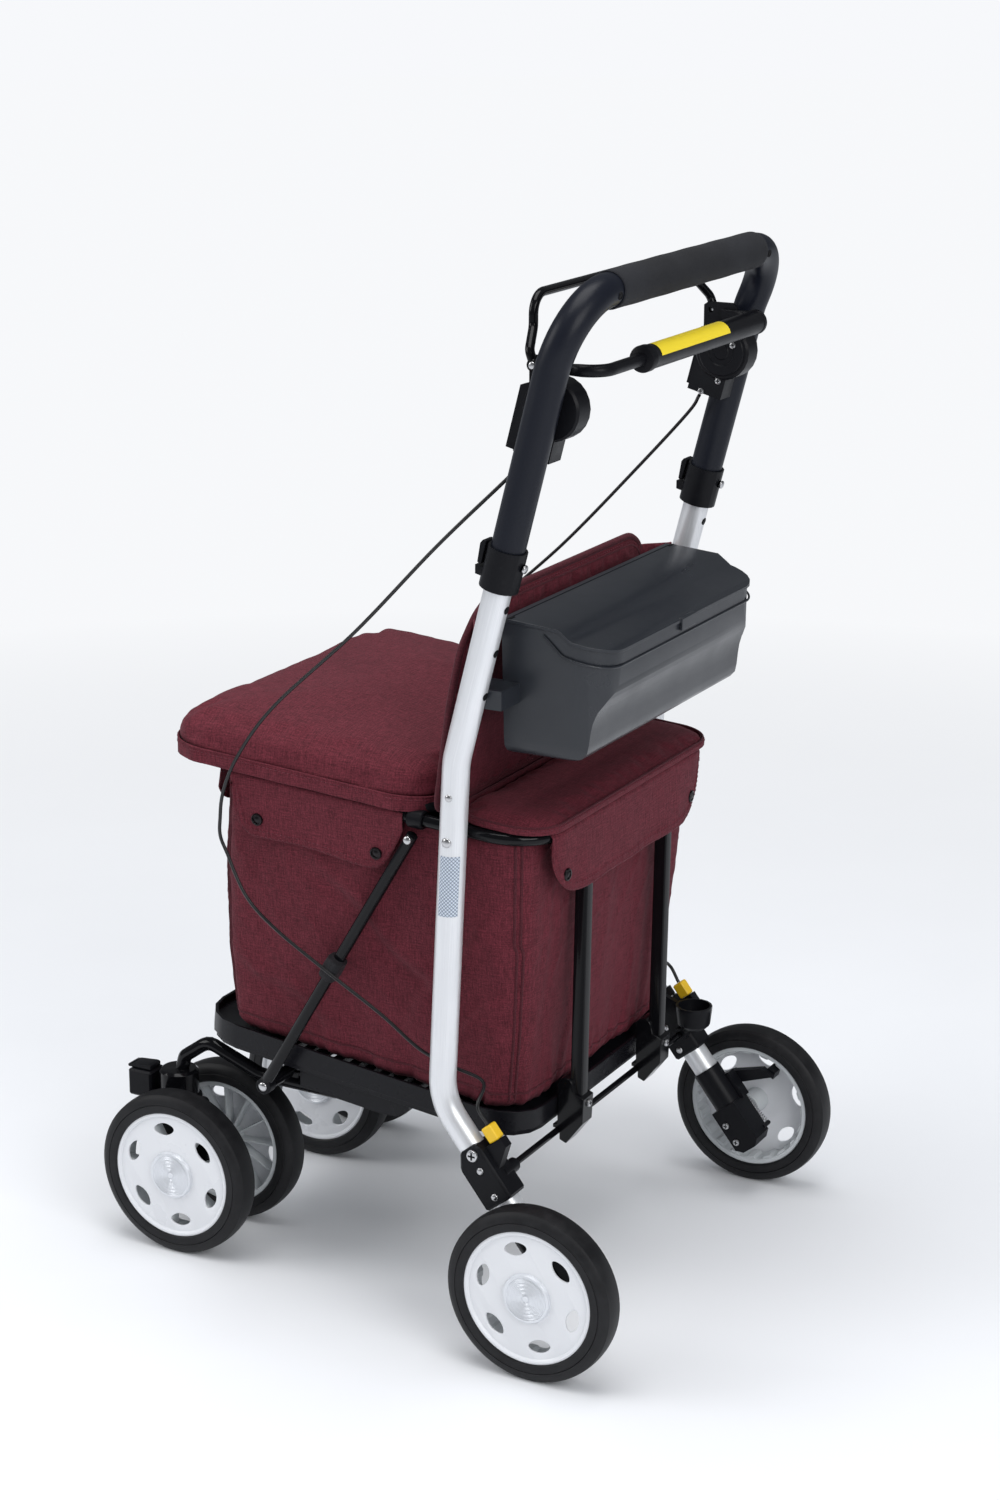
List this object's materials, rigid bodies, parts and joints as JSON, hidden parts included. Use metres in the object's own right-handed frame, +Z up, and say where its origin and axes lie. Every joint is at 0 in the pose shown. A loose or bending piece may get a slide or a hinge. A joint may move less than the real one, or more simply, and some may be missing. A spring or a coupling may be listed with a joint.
{
  "type": "shopping rollator",
  "caption": "Wheeled walking aid with a fabric shopping bag under a padded seat, a height-adjustable handle, twin front casters and hand-operated brakes.",
  "frame": {"origin": "on the ground midway between the front and rear wheels, in the middle plane", "axes": "+Z up, travel towards -Y, the user's left at +X"},
  "size_m": [0.53, 0.6052, 1.0073],
  "materials": {
    "silver": "satin anodised",
    "black_tube": "satin black coat",
    "gloss_black": "gloss black coat",
    "black_plastic": "moulded, matte",
    "grey_plastic": "moulded, fine grain",
    "foam": "foam grip",
    "rim": "moulded white nylon",
    "tyre": "smooth black",
    "burgundy": "melange weave",
    "yellow": "moulded",
    "steel": "zinc plated",
    "cable": "black cable jacket"
  },
  "bodies": {
    "frame": {"side_tube_left": "silver", "side_tube_right": "silver", "rear_bracket_left": "black_plastic", "rear_bracket_right": "black_plastic", "cross_rod": "gloss_black", "brake_carrier_left": "black_plastic", "brake_carrier_right": "black_plastic", "brake_spring_left": "steel", "brake_spring_right": "steel", "cable_end_left": "yellow", "cable_end_right": "yellow", "organizer_body": "grey_plastic", "back_pad": "burgundy", "stick_cup": "black_plastic", "brake_cable_left": "cable", "brake_cable_right": "cable"},
    "handle": {"handle_tube": "black_tube", "handle_grip": "foam", "collar_left": "black_plastic", "collar_right": "black_plastic", "brake_housing_left": "black_plastic", "brake_housing_right": "black_plastic"},
    "brake_bail": {"brake_bail": "gloss_black"},
    "parking_bar": {"parking_bar": "gloss_black", "parking_sleeve": "black_plastic"},
    "carrier": {"bag_hoop": "gloss_black", "side_strut_left": "gloss_black", "side_strut_right": "gloss_black", "rear_strut_left": "black_plastic", "rear_strut_right": "black_plastic", "tray": "black_plastic", "front_frame": "gloss_black", "bag": "burgundy", "rear_cover": "burgundy"},
    "seat": {"seat_cushion": "burgundy", "seat_board": "black_plastic"},
    "organizer_lid": {"organizer_lid": "grey_plastic"},
    "clip_left": {"clip_left": "black_plastic"},
    "snap_button_left": {"snap_button_left": "steel"},
    "fork_left": {"caster_fork_left": "black_plastic"},
    "lock_left": {"swivel_lock_left": "black_plastic"},
    "wheel_outer_left": {"rim_outer_left": "rim", "tyre_outer_left": "tyre"},
    "wheel_inner_left": {"rim_inner_left": "rim", "tyre_inner_left": "tyre"},
    "wheel_rear_left": {"rim_rear_left": "rim", "tyre_rear_left": "tyre"},
    "brake_shoe_left": {"brake_shoe_left": "black_plastic"},
    "clip_right": {"clip_right": "black_plastic"},
    "snap_button_right": {"snap_button_right": "steel"},
    "fork_right": {"caster_fork_right": "black_plastic"},
    "lock_right": {"swivel_lock_right": "black_plastic"},
    "wheel_outer_right": {"rim_outer_right": "rim", "tyre_outer_right": "tyre"},
    "wheel_inner_right": {"rim_inner_right": "rim", "tyre_inner_right": "tyre"},
    "wheel_rear_right": {"rim_rear_right": "rim", "tyre_rear_right": "tyre"},
    "brake_shoe_right": {"brake_shoe_right": "black_plastic"}
  },
  "joints": [
    {"name": "handle_slide", "type": "slide", "parent": "frame", "child": "handle", "axis": [0, 0.2534, 0.9673], "range_m": [-0.042, 0.042], "deforming": ["brake_cable_left", "brake_cable_right"]},
    {"name": "bail_pivot", "type": "hinge", "parent": "handle", "child": "brake_bail", "pos_m": [0, 0.183, 0.9264], "axis": [-1, 0, 0], "range_deg": [0, 25], "stiffness_Nm_per_rad": 2, "springref_deg": -8.59},
    {"name": "parking_pivot", "type": "hinge", "parent": "handle", "child": "parking_bar", "pos_m": [0, 0.202, 0.925], "axis": [-1, 0, 0], "range_deg": [0, 14]},
    {"name": "carrier_fold", "type": "hinge", "parent": "frame", "child": "carrier", "pos_m": [0, 0.1126, 0.4925], "axis": [1, 0, 0], "range_deg": [0, 23], "deforming": ["brake_cable_left", "brake_cable_right"]},
    {"name": "seat_hinge", "type": "hinge", "parent": "carrier", "child": "seat", "pos_m": [0, 0.088, 0.572], "axis": [-1, 0, 0], "range_deg": [0, 80]},
    {"name": "organizer_hinge", "type": "hinge", "parent": "frame", "child": "organizer_lid", "pos_m": [0, 0.15, 0.694], "axis": [1, 0, 0], "range_deg": [0, 100]},
    {"name": "clip_hinge_left", "type": "hinge", "parent": "handle", "child": "clip_left", "pos_m": [0.207, 0.14369, 0.75423], "axis": [1, 0, 0], "range_deg": [0, 60]},
    {"name": "button_slide_left", "type": "slide", "parent": "handle", "child": "snap_button_left", "axis": [0, 0.9673, -0.2534], "range_m": [0, 0.004], "stiffness_N_per_m": 500, "springref_m": -0.002},
    {"name": "swivel_left", "type": "hinge", "parent": "carrier", "child": "fork_left", "pos_m": [0.1343, -0.2461, 0.1437], "axis": [0, 0, 1], "continuous": true},
    {"name": "lock_hinge_left", "type": "hinge", "parent": "fork_left", "child": "lock_left", "pos_m": [0.1343, -0.2762, 0.169], "axis": [-1, 0, 0], "range_deg": [0, 20]},
    {"name": "spin_outer_left", "type": "hinge", "parent": "fork_left", "child": "wheel_outer_left", "pos_m": [0.1806, -0.2181, 0.0845], "axis": [1, 0, 0], "continuous": true},
    {"name": "spin_inner_left", "type": "hinge", "parent": "fork_left", "child": "wheel_inner_left", "pos_m": [0.088, -0.2181, 0.0845], "axis": [1, 0, 0], "continuous": true},
    {"name": "spin_rear_left", "type": "hinge", "parent": "frame", "child": "wheel_rear_left", "pos_m": [0.24985, 0.2181, 0.0845], "axis": [1, 0, 0], "continuous": true},
    {"name": "shoe_pivot_left", "type": "hinge", "parent": "frame", "child": "brake_shoe_left", "pos_m": [0.2226, 0.20665, 0.1206], "axis": [1, 0, 0], "range_deg": [0, 2.5]},
    {"name": "clip_hinge_right", "type": "hinge", "parent": "handle", "child": "clip_right", "pos_m": [-0.207, 0.14369, 0.75423], "axis": [1, 0, 0], "range_deg": [0, 60]},
    {"name": "button_slide_right", "type": "slide", "parent": "handle", "child": "snap_button_right", "axis": [0, 0.9673, -0.2534], "range_m": [0, 0.004], "stiffness_N_per_m": 500, "springref_m": -0.002},
    {"name": "swivel_right", "type": "hinge", "parent": "carrier", "child": "fork_right", "pos_m": [-0.1343, -0.2461, 0.1437], "axis": [0, 0, 1], "continuous": true},
    {"name": "lock_hinge_right", "type": "hinge", "parent": "fork_right", "child": "lock_right", "pos_m": [-0.1343, -0.2762, 0.169], "axis": [-1, 0, 0], "range_deg": [0, 20]},
    {"name": "spin_outer_right", "type": "hinge", "parent": "fork_right", "child": "wheel_outer_right", "pos_m": [-0.1806, -0.2181, 0.0845], "axis": [1, 0, 0], "continuous": true},
    {"name": "spin_inner_right", "type": "hinge", "parent": "fork_right", "child": "wheel_inner_right", "pos_m": [-0.088, -0.2181, 0.0845], "axis": [1, 0, 0], "continuous": true},
    {"name": "spin_rear_right", "type": "hinge", "parent": "frame", "child": "wheel_rear_right", "pos_m": [-0.24985, 0.2181, 0.0845], "axis": [1, 0, 0], "continuous": true},
    {"name": "shoe_pivot_right", "type": "hinge", "parent": "frame", "child": "brake_shoe_right", "pos_m": [-0.2226, 0.20665, 0.1206], "axis": [1, 0, 0], "range_deg": [0, 2.5]}
  ],
  "couplings": [
    {"joint": "shoe_pivot_left", "follows": "bail_pivot", "ratio": 0.1},
    {"joint": "shoe_pivot_right", "follows": "bail_pivot", "ratio": 0.1}
  ]
}
